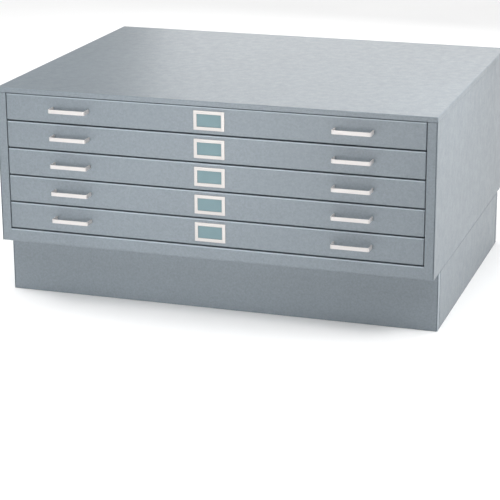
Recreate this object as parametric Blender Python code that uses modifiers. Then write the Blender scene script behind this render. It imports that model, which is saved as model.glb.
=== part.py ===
"""A five-drawer steel flat file cabinet on a closed base.

The floor is at z = 0 and the drawers face -Y. The origin is under the middle of the object. All
lengths are in metres. Drawer 1 is the top one. Each drawer is a tray with a separate front, hangs on
two runners, and holds a hinged plate that presses the sheets flat.
"""
import math

import bmesh
import bpy
from mathutils import Matrix, Vector

# Driving dimensions
WIDTH = 1.181
DEPTH = 0.902                      # without the handles
HANDLE_REACH = 0.032               # how far a handle stands out from the front
BASE_HEIGHT = 0.156
BOTTOM_RAIL_HEIGHT = 0.036
TOP_SKIRT_HEIGHT = 0.013
DRAWER_COUNT = 5
DRAWER_PITCH = 0.074
DRAWER_TRAVEL = 0.640
STILE_WIDTH = 0.026                # front face of a side panel
BASE_FRONT_SETBACK = 0.060
BASE_BACK_SETBACK = 0.038

# Sheet metal
SHEET = 0.0012
TRAY_SHEET = 0.0010
BEND = 0.0025                      # outer radius of a fold
GAP = 0.0003                       # between pieces that touch

# Cabinet shell
STILE_LIP = 0.014
BACK_PANEL_DEPTH = 0.020
BACK_PANEL_LAP = 0.0155            # how far the back panel reaches into a side panel
RAIL_DEPTH = 0.020

# Base shell
BASE_FLANGE = 0.018                # return flange of the front and back panels
BASE_GROOVE = 0.004                # between that flange and the side panel
BASE_SIDE_FLANGE = 0.030
TONGUE_DEPTH = 0.0015              # how far the side panel steps in under the flange
TONGUE_INSET = 0.003               # from the base's top and bottom

# Bolts between base and cabinet
BOLT_RADIUS = 0.004
BOLT_HOLE_RADIUS = 0.0046
BOLT_HEAD_RADIUS = 0.0075
BOLT_HEAD_HEIGHT = 0.005
BOLT_INSET = 0.0140                # from the outer face of the side
BOLT_SETBACKS = (0.120, 0.100)     # from the front and the back of the cabinet

# Drawer, measured from the cabinet's front face and the bottom of the drawer's own space
FRONT_CLEARANCE = 0.0016           # above and below, and beside the stiles
FRONT_RECESS = 0.0005
FRONT_DEPTH = 0.0152
TRAY_SIDE_CLEARANCE = 0.017        # between tray and opening, filled by the runner
TRAY_BACK_CLEARANCE = 0.060
TRAY_BOTTOM = 0.005
TRAY_RIM = 0.061
HOOD_DEPTH = 0.100                 # cover over the tray's rear end

# Runner channels and rollers, heights from the channel's floor
CHANNEL_FLOOR = 0.024              # above the bottom of the drawer's space
CHANNEL_SHEET = 0.0015
CHANNEL_WEB_GAP = 0.0015           # inside the plane of the opening
CHANNEL_FLANGE = 0.0115
CHANNEL_FRONT = 0.032
CHANNEL_BACK = 0.045               # from the cabinet's back face
POST_WIDTH = 0.020
POST_SETBACKS = (0.030, 0.050)
FRONT_ROLLER_RADIUS = 0.0085
FRONT_ROLLER_INSET = 0.012
FRONT_ROLLER_WIDTH = 0.009
FRONT_ROLLER_WEB_GAP = 0.0015
AXLE_END = 0.0007                  # axle that shows beyond a front roller
REAR_ROLLER_RADIUS = 0.011
REAR_ROLLER_BORE = 0.0033
REAR_ROLLER_INSET = 0.025          # from the tray's rear wall
REAR_ROLLER_WALL_GAP = 0.0035      # between tray and roller, for the axle's shoulder
ROLLER_WIDTH = 0.0096
AXLE_RADIUS = 0.003
AXLE_HEAD_RADIUS = 0.0045
SHOULDER_RADIUS = 0.005
RAIL_REACH = 0.013
RAIL_LEG = 0.006
RAIL_FRONT_INSET = 0.018
RAIL_ROLLER_GAP = 0.002
STOP_BOTTOM = 0.0196
STOP_THICKNESS = 0.002
STOP_WIDTH = 0.010
STOP_WEB_GAP = 0.001

# Handles and label holder
HANDLE_LENGTH = 0.102
HANDLE_HEIGHT = 0.010
HANDLE_SHEET = 0.0025
HANDLE_BEND = 0.005
HANDLE_X = 0.380
HANDLE_Z = 0.039
LABEL_SIZE = (0.083, 0.0505)
LABEL_WINDOW = (0.064, 0.0323)
LABEL_POCKET = (0.070, 0.0380)
LABEL_THICKNESS = 0.0022
LABEL_POCKET_DEPTH = 0.0011
CARD_THICKNESS = 0.0005

# Depressor plate
HINGE_FROM_TRAY = 0.012
HINGE_BELOW_RIM = 0.009
DEPRESSOR_LENGTH = 0.165
DEPRESSOR_SIDE_GAP = 0.0035
DEPRESSOR_FLOOR_GAP = 0.0020
CURL_RADIUS = 0.0025
CURL_ANGLE = math.radians(150)
CURL_STEPS = 5
PIN_HOLE_RADIUS = 0.0033

# Derived places
HALF_WIDTH = WIDTH / 2
HALF_OPENING = HALF_WIDTH - STILE_WIDTH
FRONT_Y = HANDLE_REACH - (DEPTH + HANDLE_REACH) / 2
BACK_Y = FRONT_Y + DEPTH
DRAWERS_Z = BASE_HEIGHT + BOTTOM_RAIL_HEIGHT
SKIRT_Z = DRAWERS_Z + DRAWER_COUNT * DRAWER_PITCH
TOP_Z = SKIRT_Z + TOP_SKIRT_HEIGHT
BASE_FRONT_Y = FRONT_Y + BASE_FRONT_SETBACK
BASE_BACK_Y = BACK_Y - BASE_BACK_SETBACK
BASE_TOP_Z = BASE_HEIGHT - GAP

TRAY_HALF = HALF_OPENING - TRAY_SIDE_CLEARANCE
TRAY_FRONT = FRONT_RECESS + FRONT_DEPTH + GAP
TRAY_BACK = DEPTH - TRAY_BACK_CLEARANCE
CHANNEL_WEB = HALF_OPENING - CHANNEL_WEB_GAP
CHANNEL_HEIGHT = 2 * (REAR_ROLLER_RADIUS + GAP)
REAR_ROLLER_Y = TRAY_BACK - REAR_ROLLER_INSET
REAR_ROLLER_Z = CHANNEL_FLOOR + CHANNEL_HEIGHT / 2
REAR_ROLLER_X = TRAY_HALF + REAR_ROLLER_WALL_GAP
RAIL_RISE = 2 * (FRONT_ROLLER_RADIUS + GAP)
RAIL_START = TRAY_FRONT + RAIL_FRONT_INSET
RAIL_END = REAR_ROLLER_Y - REAR_ROLLER_RADIUS - RAIL_ROLLER_GAP
HINGE_Y = TRAY_FRONT + HINGE_FROM_TRAY
HINGE_Z = TRAY_RIM - HINGE_BELOW_RIM

PART_COLLECTION = "flat_file_cabinet"
TOOL_COLLECTION = "cutters"
ROLLER_STEPS = 16
PIN_STEPS = 12
SMOOTH_ANGLE = math.radians(40)
MERGE = 0.00005
CUT_MARGIN = 0.010                 # how far a cutter runs past what it cuts


# ---------------------------------------------------------------- scene and materials

def clear_scene():
    """Remove every object that is already there."""
    for obj in list(bpy.data.objects):
        bpy.data.objects.remove(obj, do_unlink=True)


def make_collection(name):
    """A new collection under the scene's own."""
    group = bpy.data.collections.new(name)
    bpy.context.scene.collection.children.link(group)
    return group


def make_material(name, color, roughness, metallic):
    """A Principled material."""
    material = bpy.data.materials.new(name)
    material.use_nodes = True
    shader = material.node_tree.nodes["Principled BSDF"]
    shader.inputs["Base Color"].default_value = (*color, 1.0)
    shader.inputs["Roughness"].default_value = roughness
    shader.inputs["Metallic"].default_value = metallic
    return material


# ---------------------------------------------------------------- shapes

def box(low, high):
    """A closed box between two corners."""
    bm = bmesh.new()
    bmesh.ops.create_cube(bm, size=1.0)
    low, high = Vector(low), Vector(high)
    bmesh.ops.scale(bm, vec=high - low, verts=bm.verts)
    bmesh.ops.translate(bm, vec=(low + high) / 2, verts=bm.verts)
    bm.normal_update()
    return bm


def open_box(low, high, side, kept=None):
    """A box without the face that looks towards side.

    kept is (axis, position, sign): the part of that face beyond the position stays as a strip.
    """
    bm = box(low, high)
    side = Vector(side)
    if kept:
        axis, position, sign = kept
        normal = Vector([float(i == axis) for i in range(3)])
        everything = list(bm.verts) + list(bm.edges) + list(bm.faces)
        bmesh.ops.bisect_plane(bm, geom=everything, plane_co=normal * position, plane_no=normal)
        bm.normal_update()
    doomed = [face for face in bm.faces if face.normal.dot(side) > 0.9]
    if kept:
        doomed = [face for face in doomed if face.calc_center_median()[axis] * sign < position * sign]
    bmesh.ops.delete(bm, geom=doomed, context="FACES")
    return bm


def folded_strip(path, axis, low, high):
    """An open strip along a path of 2D points, drawn out along an axis from low to high.

    The path's plane is YZ for axis X, ZX for axis Y and XY for axis Z, and the strip's faces look
    to the right of the path.
    """
    bm = bmesh.new()
    order = {"X": (1, 2, 0), "Y": (2, 0, 1), "Z": (0, 1, 2)}[axis]
    rows = []
    for height in (low, high):
        row = []
        for u, v in path:
            place = [0.0, 0.0, 0.0]
            place[order[0]], place[order[1]], place[order[2]] = u, v, height
            row.append(bm.verts.new(place))
        rows.append(row)
    for i in range(len(path) - 1):
        bm.faces.new((rows[0][i], rows[0][i + 1], rows[1][i + 1], rows[1][i]))
    bm.normal_update()
    return bm


def rounded_path(points, radius, steps=4):
    """The same path with an arc of the given radius in place of each inner corner."""
    path = [Vector(points[0])]
    for before, corner, after in zip(points, points[1:], points[2:]):
        corner = Vector(corner)
        towards = (Vector(before) - corner).normalized()
        away = (Vector(after) - corner).normalized()
        half = towards.angle(away) / 2
        centre = corner + (towards + away).normalized() * (radius / math.sin(half))
        start = corner + towards * (radius / math.tan(half)) - centre
        end = corner + away * (radius / math.tan(half)) - centre
        turn = start.angle_signed(end)
        for i in range(steps + 1):
            angle = -turn * i / steps
            path.append(centre + Matrix.Rotation(angle, 2) @ start)
    path.append(Vector(points[-1]))
    return path


def mesh_from(bm, name):
    """Turn a bmesh into a mesh."""
    mesh = bpy.data.meshes.new(name)
    bm.to_mesh(mesh)
    bm.free()
    return mesh


def joined(bms, name):
    """Several separate closed shapes in one mesh."""
    whole = bmesh.new()
    for bm in bms:
        mesh = mesh_from(bm, name)
        whole.from_mesh(mesh)
        bpy.data.meshes.remove(mesh)
    return mesh_from(whole, name)


def bm_of(mesh):
    """A bmesh copy of a mesh."""
    bm = bmesh.new()
    bm.from_mesh(mesh)
    return bm


def tool(name, mesh):
    """A helper object that a Boolean reads. It isn't a piece of the cabinet."""
    obj = bpy.data.objects.new(name, mesh)
    obj.hide_render = True
    obj.display_type = "WIRE"
    TOOLS.objects.link(obj)
    return obj


def add_bends(obj, width):
    """Round the folds of a sheet."""
    bends = obj.modifiers.new("bends", "BEVEL")
    bends.width = width
    bends.segments = 2
    bends.limit_method = "ANGLE"
    bends.angle_limit = math.radians(30)


def add_thickness(obj, thickness):
    """Give a sheet its thickness, behind its faces."""
    sheet = obj.modifiers.new("sheet", "SOLIDIFY")
    sheet.thickness = thickness
    sheet.offset = -1.0
    sheet.use_even_offset = True


def add_boolean(obj, other, operation):
    """Join another shape to the object, or cut it out."""
    change = obj.modifiers.new(operation.lower(), "BOOLEAN")
    change.operation = operation
    change.object = other
    change.solver = "EXACT"


def baked(obj):
    """The object's mesh with its modifiers applied. The object itself is removed."""
    bpy.context.view_layer.update()
    depsgraph = bpy.context.evaluated_depsgraph_get()
    mesh = bpy.data.meshes.new_from_object(obj.evaluated_get(depsgraph))
    bpy.data.objects.remove(obj, do_unlink=True)
    return mesh


def solid(bm, name, thickness=None, bend=None, join=(), cut=()):
    """A finished mesh: sheet thickness and bends first, then shapes joined on and cut out."""
    obj = tool(name, mesh_from(bm, name))
    if bend:
        add_bends(obj, bend)
    if thickness:
        add_thickness(obj, thickness)
    for i, mesh in enumerate(join):
        add_boolean(obj, tool(f"{name}_join_{i}", mesh), "UNION")
    for i, mesh in enumerate(cut):
        add_boolean(obj, tool(f"{name}_cut_{i}", mesh), "DIFFERENCE")
    mesh = baked(obj)
    for helper in list(TOOLS.objects):
        bpy.data.objects.remove(helper, do_unlink=True)
    return mesh


def turned(profile, name, steps=ROLLER_STEPS):
    """A turned solid around the X axis. The profile's points are (x, radius), from high x to low."""
    bm = bmesh.new()
    verts = [bm.verts.new((radius, 0.0, x)) for x, radius in profile]
    for a, b in zip(verts, verts[1:]):
        bm.edges.new((a, b))
    obj = tool(name, mesh_from(bm, name))
    screw = obj.modifiers.new("turn", "SCREW")
    screw.steps = steps
    screw.render_steps = steps
    screw.use_merge_vertices = True
    screw.merge_threshold = MERGE
    mesh = baked(obj)
    mesh.transform(Matrix.Rotation(math.pi / 2, 4, "Y"))
    mesh.shade_smooth()
    mesh.set_sharp_from_angle(angle=SMOOTH_ANGLE)
    return mesh


def rod(x_low, x_high, radius, place, name):
    """A plain round rod along X through place, which is (y, z)."""
    profile = [(x_high, 0.0), (x_high, radius), (x_low, radius), (x_low, 0.0)]
    mesh = turned(profile, name, PIN_STEPS)
    mesh.transform(Matrix.Translation((0.0, *place)))
    return mesh


def mirrored(mesh):
    """The same mesh on the other side of the middle plane."""
    copy = mesh.copy()
    copy.transform(Matrix.Scale(-1, 4, (1, 0, 0)))
    copy.flip_normals()
    return copy


def add_part(name, mesh, material, location=(0.0, 0.0, 0.0), parent=None):
    """Put a piece into the cabinet."""
    obj = bpy.data.objects.new(name, mesh)
    PARTS.objects.link(obj)
    if not mesh.materials:
        mesh.materials.append(material)
    obj.location = location
    obj.parent = parent
    return obj


def add_sheet(name, bm, material):
    """Put a folded sheet into the cabinet, with its bends and its thickness as modifiers."""
    obj = add_part(name, mesh_from(bm, name), material)
    add_bends(obj, BEND)
    add_thickness(obj, SHEET)
    return obj


def add_pair(name, mesh, material):
    """Put a right-hand piece and its left-hand mirror image into the cabinet."""
    add_part(f"right_{name}", mesh, material)
    add_part(f"left_{name}", mirrored(mesh), material)


# ---------------------------------------------------------------- cabinet shell

def bolt_places():
    """Where the bolts stand, as (x, y)."""
    x = HALF_WIDTH - BOLT_INSET
    front, back = FRONT_Y + BOLT_SETBACKS[0], BACK_Y - BOLT_SETBACKS[1]
    return {
        "front_left_bolt": (-x, front),
        "front_right_bolt": (x, front),
        "back_left_bolt": (-x, back),
        "back_right_bolt": (x, back),
    }


def bolt_hole_cutters():
    """Upright rods that cut the right-hand bolt holes."""
    rods = []
    for name, (x, y) in bolt_places().items():
        if "right" in name:
            mesh = rod(-CUT_MARGIN, CUT_MARGIN, BOLT_HOLE_RADIUS, (0.0, 0.0), name)
            mesh.transform(Matrix.Rotation(math.pi / 2, 4, "Y"))
            mesh.transform(Matrix.Translation((x, y, BASE_HEIGHT)))
            rods.append(bm_of(mesh))
    return joined(rods, "bolt_holes")


def make_top(paint):
    """The top panel with its skirt."""
    low = (-HALF_WIDTH, FRONT_Y, SKIRT_Z)
    high = (HALF_WIDTH, BACK_Y, TOP_Z)
    add_sheet("top_panel", open_box(low, high, (0, 0, -1)), paint)


def make_sides(paint):
    """The side panels: hollow, with the front stile and a lip behind it."""
    low = (HALF_OPENING, FRONT_Y, BASE_HEIGHT)
    high = (HALF_WIDTH, BACK_Y, SKIRT_Z - GAP)
    shell = open_box(low, high, (-1, 0, 0), kept=(1, FRONT_Y + STILE_LIP, -1))
    mesh = solid(shell, "side_panel", SHEET, BEND, cut=[bolt_hole_cutters()])
    add_pair("side_panel", mesh, paint)


def make_back(paint):
    """The back panel, a shallow pan that laps inside the side panels."""
    half = HALF_OPENING + BACK_PANEL_LAP
    back = BACK_Y - SHEET - GAP
    low = (-half, back - BACK_PANEL_DEPTH, BASE_HEIGHT + SHEET + GAP)
    high = (half, back, SKIRT_Z - SHEET - 2 * GAP)
    add_sheet("back_panel", open_box(low, high, (0, -1, 0)), paint)


def make_bottom_rail(paint):
    """The rail between the stiles under the lowest drawer."""
    low, high = BASE_HEIGHT, DRAWERS_Z - FRONT_CLEARANCE
    back = FRONT_Y + RAIL_DEPTH
    path = [(back, high), (FRONT_Y, high), (FRONT_Y, low), (back, low)]
    half = HALF_OPENING - GAP
    add_sheet("bottom_rail", folded_strip(path, "X", -half, half), paint)


# ---------------------------------------------------------------- base

def base_end_panel(front, back, side):
    """A base panel across the front or the back, with return flanges all round."""
    return open_box((-HALF_WIDTH, front, 0.0), (HALF_WIDTH, back, BASE_TOP_Z), side)


def make_base(paint):
    """The closed base: front and back panels wrap the corners, the sides step in under them."""
    front_inner = BASE_FRONT_Y + BASE_FLANGE
    back_inner = BASE_BACK_Y - BASE_FLANGE
    add_sheet("base_front_panel", base_end_panel(BASE_FRONT_Y, front_inner, (0, 1, 0)), paint)
    add_sheet("base_back_panel", base_end_panel(back_inner, BASE_BACK_Y, (0, -1, 0)), paint)

    side_front = front_inner + BASE_GROOVE
    side_back = back_inner - BASE_GROOVE
    inner = HALF_WIDTH - BASE_SIDE_FLANGE
    shell = open_box((inner, side_front, 0.0), (HALF_WIDTH, side_back, BASE_TOP_Z), (-1, 0, 0))
    reach = BASE_FLANGE + BASE_GROOVE - 2 * SHEET
    overlap = SHEET / 2
    outer = HALF_WIDTH - TONGUE_DEPTH
    tongues = []
    for edge, outward in ((side_front, -1), (side_back, 1)):
        y_low, y_high = sorted((edge + outward * reach, edge - outward * overlap))
        low = (outer - SHEET, y_low, TONGUE_INSET)
        tongues.append(box(low, (outer, y_high, BASE_TOP_Z - TONGUE_INSET)))
    mesh = solid(
        shell, "base_side_panel", SHEET, BEND,
        join=[joined(tongues, "tongues")],
        cut=[bolt_hole_cutters()],
    )
    add_part("base_right_panel", mesh, paint)
    add_part("base_left_panel", mirrored(mesh), paint)


def make_bolts(steel):
    """The bolts that hold the cabinet on its base, each with its nut."""
    flange_top = BASE_HEIGHT + SHEET + GAP
    flange_bottom = BASE_TOP_Z - SHEET - GAP
    top = flange_top + BOLT_HEAD_HEIGHT
    bottom = flange_bottom - BOLT_HEAD_HEIGHT
    profile = [
        (top, 0.0), (top, BOLT_HEAD_RADIUS),
        (flange_top, BOLT_HEAD_RADIUS), (flange_top, BOLT_RADIUS),
        (flange_bottom, BOLT_RADIUS), (flange_bottom, BOLT_HEAD_RADIUS),
        (bottom, BOLT_HEAD_RADIUS), (bottom, BOLT_RADIUS),
        (bottom - BOLT_RADIUS, BOLT_RADIUS), (bottom - BOLT_RADIUS, 0.0),
    ]
    mesh = turned([(x - BASE_HEIGHT, radius) for x, radius in profile], "bolt", PIN_STEPS)
    mesh.transform(Matrix.Rotation(-math.pi / 2, 4, "Y"))
    for name, (x, y) in bolt_places().items():
        add_part(name, mesh, steel, (x, y, BASE_HEIGHT))


# ---------------------------------------------------------------- runners

def drawer_floor(number):
    """Bottom of the space of a drawer. Number 1 is the top drawer."""
    return DRAWERS_Z + (DRAWER_COUNT - number) * DRAWER_PITCH


def runner_channel(floor):
    """A channel that is open towards the drawer."""
    tip = CHANNEL_WEB - CHANNEL_FLANGE
    ceiling = floor + CHANNEL_HEIGHT
    path = [(floor, tip), (floor, CHANNEL_WEB), (ceiling, CHANNEL_WEB), (ceiling, tip)]
    strip = folded_strip(path, "Y", FRONT_Y + CHANNEL_FRONT, BACK_Y - CHANNEL_BACK)
    return bm_of(solid(strip, "channel", CHANNEL_SHEET))


def runner_post(y):
    """An upright that carries the channels, open towards the side panel."""
    web = CHANNEL_WEB + CHANNEL_SHEET / 2
    legs = HALF_WIDTH - SHEET - 2 * GAP
    path = [(legs, y + POST_WIDTH), (web, y + POST_WIDTH), (web, y), (legs, y)]
    strip = folded_strip(path, "Z", BASE_HEIGHT + BEND, SKIRT_Z - GAP - BEND)
    return bm_of(solid(strip, "post", SHEET))


def front_roller(floor):
    """The roller at a channel's front end, on its axle."""
    outer = CHANNEL_WEB - FRONT_ROLLER_WEB_GAP
    inner = outer - FRONT_ROLLER_WIDTH
    fixed_end = CHANNEL_WEB + CHANNEL_SHEET / 2
    profile = [
        (fixed_end, 0.0), (fixed_end, AXLE_RADIUS),
        (outer, AXLE_RADIUS), (outer, FRONT_ROLLER_RADIUS),
        (inner, FRONT_ROLLER_RADIUS), (inner, AXLE_RADIUS),
        (inner - AXLE_END, AXLE_RADIUS), (inner - AXLE_END, 0.0),
    ]
    mesh = turned(profile, "front_roller")
    y = FRONT_Y + CHANNEL_FRONT + FRONT_ROLLER_INSET
    mesh.transform(Matrix.Translation((0.0, y, floor + FRONT_ROLLER_RADIUS + GAP)))
    return bm_of(mesh)


def drawer_stop(floor):
    """A tab under the channel's ceiling that the drawer's rear roller meets when fully out."""
    drop = STOP_BOTTOM - CHANNEL_HEIGHT / 2
    contact = math.sqrt(REAR_ROLLER_RADIUS ** 2 - drop ** 2)
    back = FRONT_Y + REAR_ROLLER_Y - DRAWER_TRAVEL - contact - GAP
    outer = CHANNEL_WEB - STOP_WEB_GAP
    low = (outer - STOP_WIDTH, back - STOP_THICKNESS, floor + STOP_BOTTOM)
    high = (outer, back, floor + CHANNEL_HEIGHT + CHANNEL_SHEET / 2)
    return box(low, high)


def make_racks(steel):
    """The two runner racks, each a pair of posts with a channel for every drawer."""
    floors = [drawer_floor(n) + CHANNEL_FLOOR for n in range(1, DRAWER_COUNT + 1)]
    posts = [
        runner_post(FRONT_Y + POST_SETBACKS[0]),
        runner_post(BACK_Y - POST_SETBACKS[1] - POST_WIDTH),
    ]
    channels = [runner_channel(floor) for floor in floors]
    fittings = [front_roller(floor) for floor in floors] + [drawer_stop(floor) for floor in floors]
    mesh = solid(
        bm_of(joined(posts, "posts")), "runner_rack",
        join=[joined(channels, "channels"), joined(fittings, "fittings")],
    )
    add_pair("runner_rack", mesh, steel)


# ---------------------------------------------------------------- drawers

def drawer_rail():
    """The angle on a tray's side that runs on the front roller."""
    z = CHANNEL_FLOOR + RAIL_RISE
    inner = TRAY_HALF - TRAY_SHEET / 2
    outer = TRAY_HALF + RAIL_REACH
    path = [(z, outer), (z, inner), (z + SHEET + RAIL_LEG, inner)]
    strip = folded_strip(path, "Y", RAIL_START, RAIL_END)
    return solid(strip, "rail", SHEET)


def roller_axle():
    """The stub axle of a rear roller, with its shoulder and head."""
    wall = TRAY_HALF - TRAY_SHEET / 2
    head = REAR_ROLLER_X + ROLLER_WIDTH + 2 * GAP
    shoulder = REAR_ROLLER_X - GAP
    profile = [
        (head + SHEET, 0.0), (head + SHEET, AXLE_HEAD_RADIUS),
        (head, AXLE_HEAD_RADIUS), (head, AXLE_RADIUS),
        (shoulder, AXLE_RADIUS), (shoulder, SHOULDER_RADIUS),
        (wall, SHOULDER_RADIUS), (wall, 0.0),
    ]
    mesh = turned(profile, "axle", PIN_STEPS)
    mesh.transform(Matrix.Translation((0.0, REAR_ROLLER_Y, REAR_ROLLER_Z)))
    return mesh


def tray_mesh():
    """The tray: floor, walls, rear hood, rails, roller axles and the depressor's hinge holes."""
    low = (-TRAY_HALF, TRAY_FRONT, TRAY_BOTTOM)
    high = (TRAY_HALF, TRAY_BACK, TRAY_RIM)
    shell = open_box(low, high, (0, 0, 1), kept=(1, TRAY_BACK - HOOD_DEPTH, 1))
    fittings = []
    for mesh in (drawer_rail(), roller_axle()):
        fittings.append(bm_of(mesh))
        fittings.append(bm_of(mirrored(mesh)))
    reach = TRAY_HALF + CUT_MARGIN
    holes = rod(-reach, reach, PIN_HOLE_RADIUS, (HINGE_Y, HINGE_Z), "holes")
    return solid(shell, "tray", TRAY_SHEET, join=[joined(fittings, "fittings")], cut=[holes])


def front_mesh():
    """The drawer front, open at the back."""
    half = HALF_OPENING - FRONT_CLEARANCE
    low = (-half, FRONT_RECESS, FRONT_CLEARANCE)
    high = (half, FRONT_RECESS + FRONT_DEPTH, DRAWER_PITCH - FRONT_CLEARANCE)
    return solid(open_box(low, high, (0, 1, 0)), "front", SHEET, BEND)


def handle_mesh():
    """A strap handle bent to a flat U."""
    half = HANDLE_LENGTH / 2
    foot = FRONT_RECESS - GAP
    corners = [(-half, foot), (-half, -HANDLE_REACH), (half, -HANDLE_REACH), (half, foot)]
    path = rounded_path(corners, HANDLE_BEND)
    strip = folded_strip(path, "Z", -HANDLE_HEIGHT / 2, HANDLE_HEIGHT / 2)
    return solid(strip, "handle", HANDLE_SHEET)


def label_holder_mesh():
    """A flat frame with a window, hollow behind for the card."""
    back = FRONT_RECESS - GAP
    front = back - LABEL_THICKNESS

    def plate(size, y_low, y_high):
        return box((-size[0] / 2, y_low, -size[1] / 2), (size[0] / 2, y_high, size[1] / 2))

    window = plate(LABEL_WINDOW, front - CUT_MARGIN, back + CUT_MARGIN)
    pocket = plate(LABEL_POCKET, back - LABEL_POCKET_DEPTH, back + CUT_MARGIN)
    cutters = [mesh_from(window, "window"), mesh_from(pocket, "pocket")]
    return solid(plate(LABEL_SIZE, front, back), "label_holder", cut=cutters)


def card_mesh():
    """The label card."""
    half_x = LABEL_POCKET[0] / 2 - GAP
    half_z = LABEL_POCKET[1] / 2 - GAP
    back = FRONT_RECESS - GAP
    return mesh_from(box((-half_x, back - CARD_THICKNESS, -half_z), (half_x, back, half_z)), "card")


def depressor_mesh():
    """The hinged plate around its hinge axis: a rod, a sloping plate and a curled rear edge."""
    floor = TRAY_BOTTOM + TRAY_SHEET + DEPRESSOR_FLOOR_GAP
    slope = math.asin((HINGE_Z - floor) / DEPRESSOR_LENGTH)
    along = Vector((math.cos(slope), -math.sin(slope)))
    up = Vector((math.sin(slope), math.cos(slope)))
    end = along * DEPRESSOR_LENGTH
    path = [Vector((0.0, 0.0)), end]
    centre = end + up * CURL_RADIUS
    for i in range(1, CURL_STEPS + 1):
        angle = CURL_ANGLE * i / CURL_STEPS
        path.append(centre + CURL_RADIUS * (along * math.sin(angle) - up * math.cos(angle)))
    half = TRAY_HALF - TRAY_SHEET - DEPRESSOR_SIDE_GAP
    strip = folded_strip(path, "X", -half, half)
    pin_end = TRAY_HALF + GAP
    pin = rod(-pin_end, pin_end, AXLE_RADIUS, (0.0, 0.0), "pin")
    return solid(strip, "depressor", TRAY_SHEET, join=[pin])


def rear_roller_mesh():
    """A plain roller with its bore, from its inner face outwards along +X."""
    profile = [
        (ROLLER_WIDTH, REAR_ROLLER_BORE), (ROLLER_WIDTH, REAR_ROLLER_RADIUS),
        (0.0, REAR_ROLLER_RADIUS), (0.0, REAR_ROLLER_BORE), (ROLLER_WIDTH, REAR_ROLLER_BORE),
    ]
    return turned(profile, "rear_roller")


def make_drawers(paint, chrome, steel, card):
    """All drawers, each under an empty at the front of its own space."""
    tray = tray_mesh()
    front = front_mesh()
    handle = handle_mesh()
    holder = label_holder_mesh()
    label = card_mesh()
    depressor = depressor_mesh()
    right_roller = rear_roller_mesh()
    left_roller = mirrored(right_roller)
    for number in range(1, DRAWER_COUNT + 1):
        name = f"drawer_{number}"
        slide = bpy.data.objects.new(f"{name}_slide", None)
        slide.location = (0.0, FRONT_Y, drawer_floor(number))
        PARTS.objects.link(slide)
        label_place = (0.0, 0.0, DRAWER_PITCH / 2)
        add_part(f"{name}_tray", tray, paint, parent=slide)
        add_part(f"{name}_front", front, paint, parent=slide)
        add_part(f"{name}_handle_left", handle, chrome, (-HANDLE_X, 0.0, HANDLE_Z), slide)
        add_part(f"{name}_handle_right", handle, chrome, (HANDLE_X, 0.0, HANDLE_Z), slide)
        add_part(f"{name}_label_holder", holder, chrome, label_place, slide)
        add_part(f"{name}_label_card", label, card, label_place, slide)
        add_part(f"{name}_depressor", depressor, paint, (0.0, HINGE_Y, HINGE_Z), slide)
        right_place = (REAR_ROLLER_X, REAR_ROLLER_Y, REAR_ROLLER_Z)
        left_place = (-REAR_ROLLER_X, REAR_ROLLER_Y, REAR_ROLLER_Z)
        add_part(f"{name}_roller_right", right_roller, steel, right_place, slide)
        add_part(f"{name}_roller_left", left_roller, steel, left_place, slide)


def make_cabinet():
    """Build everything."""
    paint = make_material("grey_enamel", (0.31, 0.35, 0.38), 0.45, 0.0)
    chrome = make_material("bright_chrome", (0.78, 0.78, 0.77), 0.15, 1.0)
    steel = make_material("plated_steel", (0.50, 0.51, 0.52), 0.35, 1.0)
    card = make_material("label_card", (0.25, 0.36, 0.39), 0.80, 0.0)
    make_top(paint)
    make_sides(paint)
    make_back(paint)
    make_bottom_rail(paint)
    make_base(paint)
    make_bolts(steel)
    make_racks(steel)
    make_drawers(paint, chrome, steel, card)


clear_scene()
PARTS = make_collection(PART_COLLECTION)
TOOLS = make_collection(TOOL_COLLECTION)
make_cabinet()
bpy.context.view_layer.update()
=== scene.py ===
import math

import bmesh
import bpy
from mathutils import Matrix, Vector


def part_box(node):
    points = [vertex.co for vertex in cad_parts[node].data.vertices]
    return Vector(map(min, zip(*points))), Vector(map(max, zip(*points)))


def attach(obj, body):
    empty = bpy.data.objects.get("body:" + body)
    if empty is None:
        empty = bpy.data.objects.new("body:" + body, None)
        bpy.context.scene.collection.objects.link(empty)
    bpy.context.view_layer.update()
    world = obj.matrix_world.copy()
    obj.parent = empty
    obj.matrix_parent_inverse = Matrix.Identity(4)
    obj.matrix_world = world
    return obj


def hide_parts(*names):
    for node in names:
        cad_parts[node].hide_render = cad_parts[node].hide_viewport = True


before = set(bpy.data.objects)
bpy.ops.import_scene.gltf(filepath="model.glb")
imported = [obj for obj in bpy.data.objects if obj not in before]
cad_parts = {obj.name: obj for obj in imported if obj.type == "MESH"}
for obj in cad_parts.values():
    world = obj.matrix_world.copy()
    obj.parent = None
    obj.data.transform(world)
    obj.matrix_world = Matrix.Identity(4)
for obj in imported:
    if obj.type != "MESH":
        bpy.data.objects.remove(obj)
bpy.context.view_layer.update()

# Sheet metal
SHEET = 0.0012
TRAY_SHEET = 0.0010
PLATE = 0.0008                     # stamped label holders
BEND = 0.0028                      # outer radius of a fold
SIDE_BEND = 0.0018                 # the same on the side panels
TRAY_BEND = 0.0020
GAP = 0.0003
EDGE = 0.00022                     # softened edge of a cut sheet
WELD = 0.0001                      # how far a ground weld lies below its sheets
SEAM = 0.0009                      # open seam between a side sheet's edge and its front
FINE_EDGE = 0.0001                 # softened edge of small turned and pressed parts
BEND_SEGMENTS = 5

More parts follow.
